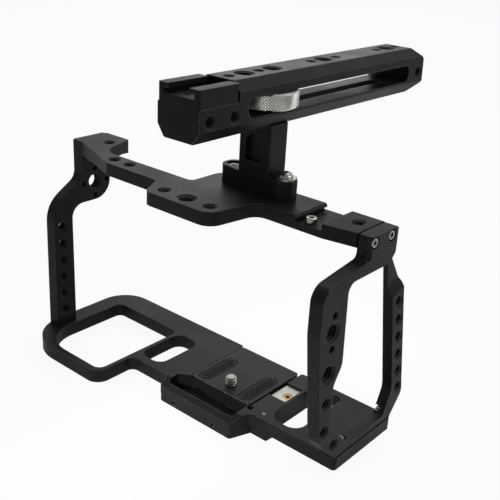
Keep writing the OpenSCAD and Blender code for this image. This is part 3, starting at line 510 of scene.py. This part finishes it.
def threaded_stud(node, body, radius, lead=0.8 * MM, rings_below=()):
    """Threaded rod in the place of a CAD node, over the height that the node has above rings_below."""
    low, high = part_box(node)
    centre = (low + high) / 2
    pitch = pitch_of(radius)
    bottom = rings_below[-1][1] if rings_below else low.z
    depth = 0.6 * pitch
    thread = thread_rings(radius - depth, depth, pitch, bottom, high.z - lead / 2)
    rings = list(rings_below) + thread + [(radius - lead, high.z)]
    vertices, faces = turned_mesh(rings, 48, Matrix.Translation((centre.x, centre.y, 0)))
    piece = new_piece(node + "_threaded", vertices, faces, finishes["steel"], body)
    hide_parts(node)
    return piece


def cut_slot(piece, centre, size):
    """Cuts a box out of a piece."""
    corners = [Vector(centre) + Vector([s * length / 2 for s, length in zip(signs, size)])
               for signs in ((-1, -1, -1), (1, -1, -1), (1, 1, -1), (-1, 1, -1),
                             (-1, -1, 1), (1, -1, 1), (1, 1, 1), (-1, 1, 1))]
    sides = [(3, 2, 1, 0), (4, 5, 6, 7), (0, 1, 5, 4), (1, 2, 6, 5), (2, 3, 7, 6), (3, 0, 4, 7)]
    mesh = bpy.data.meshes.new("cutter")
    mesh.from_pydata(corners, [], sides)
    cutter = bpy.data.objects.new("cutter", mesh)
    bpy.context.scene.collection.objects.link(cutter)
    cut = piece.modifiers.new("slot", "BOOLEAN")
    cut.operation, cut.object, cut.solver = "DIFFERENCE", cutter, "EXACT"
    graph = bpy.context.evaluated_depsgraph_get()
    finished = bpy.data.meshes.new_from_object(piece.evaluated_get(graph))
    piece.modifiers.clear()
    piece.data = finished
    bpy.data.objects.remove(cutter)


QUARTER_INCH = 6.35 * MM
stud_low, stud_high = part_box("camera_screw")
head_radius, neck_radius, head_lead = (stud_high.x - stud_low.x) / 2, 2.5 * MM, 0.4 * MM
head_top = stud_low.z + 1.9 * MM
neck_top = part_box("qr_plate")[1].z - 0.2 * MM
camera_screw = threaded_stud(
    "camera_screw", "camera_stud", QUARTER_INCH / 2, rings_below=(
        (head_radius - head_lead, stud_low.z), (head_radius, stud_low.z + head_lead),
        (head_radius, head_top), (neck_radius, head_top), (neck_radius, neck_top)))
stud_middle = (stud_low + stud_high) / 2
cut_slot(camera_screw, (stud_middle.x, stud_middle.y, stud_low.z), (3 * head_radius, 1.4 * MM, 2 * MM))
threaded_stud("post_stud", "cage", QUARTER_INCH / 2)


# ---------------------------------------------------------------- thumbwheel

def knurled_wheel():
    low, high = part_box("thumbwheel")
    middle = (low + high) / 2
    outer = (high.x - low.x) / 2
    lead, depth, diamonds, samples = 0.8 * MM, 0.42 * MM, 72, 6
    pitch = TURN * outer / diamonds
    bore = QUARTER_INCH / 2 + 0.05 * MM

    def wave(value):
        """0 in a groove, 1 half way between two grooves."""
        return min(1.0, 2.4 * (0.5 - abs(value % 1.0 - 0.5)))

    def knurl(z):
        def radius(angle):
            around, up = angle * diamonds / TURN, (z - low.z) / pitch
            return outer - depth * (1 - min(wave(around + up), wave(around - up)))
        return radius
    rows = math.ceil((high.z - low.z - 2 * lead) / pitch * samples)
    rim = [low.z + lead + (high.z - low.z - 2 * lead) * i / rows for i in range(rows + 1)]
    face_step = 0.25 * MM
    rings = [(bore, low.z + face_step), (7.2 * MM, low.z + face_step), (7.6 * MM, low.z),
             (outer - lead - 0.2 * MM, low.z)]
    rings += [(knurl(z), z) for z in rim]
    rings += [(outer - lead - 0.2 * MM, high.z), (7.6 * MM, high.z), (7.2 * MM, high.z - face_step),
              (bore, high.z - face_step)]
    vertices, faces = turned_mesh(rings, diamonds * samples, Matrix.Translation((middle.x, middle.y, 0)),
                                  through=True)
    wheel = new_piece("knurled_thumbwheel", vertices, faces, knurl_finish, "wheel", 20)
    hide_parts("thumbwheel")


knurled_wheel()


# ---------------------------------------------------------------- rubber pads

def hatched_pad(node):
    """Pad with rounded ends and a raised diamond hatch. A groove lies round it, and a plain rim
    inside its outline."""
    low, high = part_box(node)
    middle = (low + high) / 2
    groove = 0.45 * MM
    radius = (high.x - low.x) / 2 - groove
    straight = (high.y - low.y) / 2 - radius - groove
    hatch, rim = 0.45 * MM, 0.20 * MM
    top = high.z - hatch
    arc = 16
    outline = []
    for end in (1, -1):
        for k in range(arc + 1):
            angle = math.pi * k / arc + (0 if end == 1 else math.pi)
            outline.append((middle.x + radius * math.cos(angle),
                            middle.y + end * straight + radius * math.sin(angle)))
    count = len(outline)
    vertices = [(x, y, low.z) for x, y in outline] + [(x, y, top) for x, y in outline]
    faces = [tuple(reversed(range(count))), tuple(range(count, 2 * count))]
    faces += [(k, (k + 1) % count, count + (k + 1) % count, count + k) for k in range(count)]

    def inside(x, y, margin):
        away = max(0.0, abs(y - middle.y) - straight)
        return math.hypot(x - middle.x, away) < radius - margin
    pitch, base, crown, stretch = 2.00 * MM, 0.86 * MM, 0.64 * MM, 1.25
    sunk = 0.05 * MM
    columns, rows = int(radius / pitch) + 1, int((straight + radius) / pitch) * 2 + 2
    for row in range(-rows, rows + 1):
        for column in range(-columns, columns + 1):
            x = middle.x + (column + 0.5 * (row % 2)) * pitch
            y = middle.y + row * pitch / 2 * stretch
            if not inside(x, y, rim + base):
                continue
            first = len(vertices)
            for half, z in ((base, top - sunk), (crown, high.z)):
                tall = stretch * half
                vertices += [(x + half, y, z), (x, y + tall, z), (x - half, y, z), (x, y - tall, z)]
            foot, head = range(first, first + 4), range(first + 4, first + 8)
            for k in range(4):
                after = (k + 1) % 4
                faces.append((foot[k], foot[after], head[after], head[k]))
            faces += [tuple(head), tuple(reversed(foot))]
    pad = new_piece(node + "_hatched", vertices, faces, finishes["rubber"], "quick_plate", 25)
    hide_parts(node)


hatched_pad("qr_pad_left")
hatched_pad("qr_pad_right")


# ---------------------------------------------------------------- studio

def seen_share(tree, share):
    """share for rays from the camera and through glass, less for those off metal, 0 for the rest."""
    path = add(tree, "ShaderNodeLightPath")
    mirrored = maths(tree, "MULTIPLY", path.outputs["Is Glossy Ray"], 0.3)
    seen = maths(tree, "MAXIMUM", path.outputs["Is Camera Ray"], path.outputs["Is Transmission Ray"])
    return maths(tree, "MULTIPLY", maths(tree, "MAXIMUM", seen, mirrored), share)


def make_floor():
    half = 8.0
    mesh = bpy.data.meshes.new("floor")
    corners = [(-half, -half, 0), (half, -half, 0), (half, half, 0), (-half, half, 0)]
    mesh.from_pydata(corners, [], [(0, 1, 2, 3)])
    floor = bpy.data.objects.new("floor", mesh)
    bpy.context.scene.collection.objects.link(floor)
    paper = bpy.data.materials.new("studio_paper")
    paper.use_nodes = True
    tree = paper.node_tree
    tree.nodes.clear()
    diffuse = add(tree, "ShaderNodeBsdfDiffuse", {"Color": grey(0.80)})
    glow = add(tree, "ShaderNodeEmission", {"Color": grey(1.0), "Strength": 1.0})
    mix = add(tree, "ShaderNodeMixShader", {0: seen_share(tree, 0.93), 1: diffuse.outputs[0],
                                            2: glow.outputs[0]})
    end = add(tree, "ShaderNodeOutputMaterial", {"Surface": mix.outputs[0]})
    tree.nodes.active = end
    mesh.materials.append(paper)


def make_world(dim, bright, bright_side):
    """White to the camera. It lights the object from bright on one side down to dim on the other."""
    world = bpy.data.worlds.new("studio")
    bpy.context.scene.world = world
    world.use_nodes = True
    tree = world.node_tree
    tree.nodes.clear()
    towards = add(tree, "ShaderNodeTexCoord").outputs["Generated"]
    facing = add(tree, "ShaderNodeVectorMath", {0: towards, 1: Vector(bright_side).normalized()},
                 operation="DOT_PRODUCT")
    level = spread(tree, facing.outputs["Value"], dim, bright, (-0.1, 0.95))
    fill = add(tree, "ShaderNodeBackground", {"Color": grey(1.0), "Strength": level})
    seen = add(tree, "ShaderNodeBackground", {"Color": grey(1.0), "Strength": 1.0})
    mix = add(tree, "ShaderNodeMixShader", {0: seen_share(tree, 1.0), 1: fill.outputs[0],
                                            2: seen.outputs[0]})
    add(tree, "ShaderNodeOutputWorld", {"Surface": mix.outputs[0]})


def soft_light(name, place, aim, size, power, spread_degrees=180, mirrored=True):
    lamp = bpy.data.lights.new(name, "AREA")
    lamp.shape, lamp.size, lamp.energy = "SQUARE", size, power
    lamp.spread = math.radians(spread_degrees)
    holder = bpy.data.objects.new(name, lamp)
    bpy.context.scene.collection.objects.link(holder)
    holder.matrix_world = pointing(place, Vector(place) - Vector(aim))
    holder.visible_glossy = mirrored


OBJECT_MIDDLE = (0.0, 0.0, 0.09)
make_floor()
make_world(0.04, 0.88, (-0.35, 0.85, 0.25))
soft_light("overhead", (-0.25, 0.45, 1.2), OBJECT_MIDDLE, 0.9, 4.5)
soft_light("back", (-1.2, 1.5, 0.55), (0.0, 0.0, 0.16), 0.8, 1.5)
soft_light("side", (1.0, 0.15, 0.7), OBJECT_MIDDLE, 0.5, 3.0)
soft_light("low_front", (0.02, -0.45, 0.22), (0.02, -0.04, 0.0), 0.12, 0.075, 24, mirrored=False)


# ---------------------------------------------------------------- camera

def photo_camera():
    """Camera where the photograph was taken from, found from the cage's straight edges."""
    place = Vector((0.27411, -0.34090, 0.25999))
    backwards = Vector((0.5822, -0.7109, 0.3944))
    roll = math.radians(3.225)
    lens = bpy.data.cameras.new("photo_camera")
    lens.sensor_width, lens.lens, lens.clip_start = 36.0, 58.9, 0.01
    camera = bpy.data.objects.new("photo_camera", lens)
    bpy.context.scene.collection.objects.link(camera)
    camera.matrix_world = pointing(place, backwards) @ Matrix.Rotation(roll, 4, "Z")
    bpy.context.scene.camera = camera


photo_camera()
bpy.context.scene.view_settings.view_transform = "Standard"
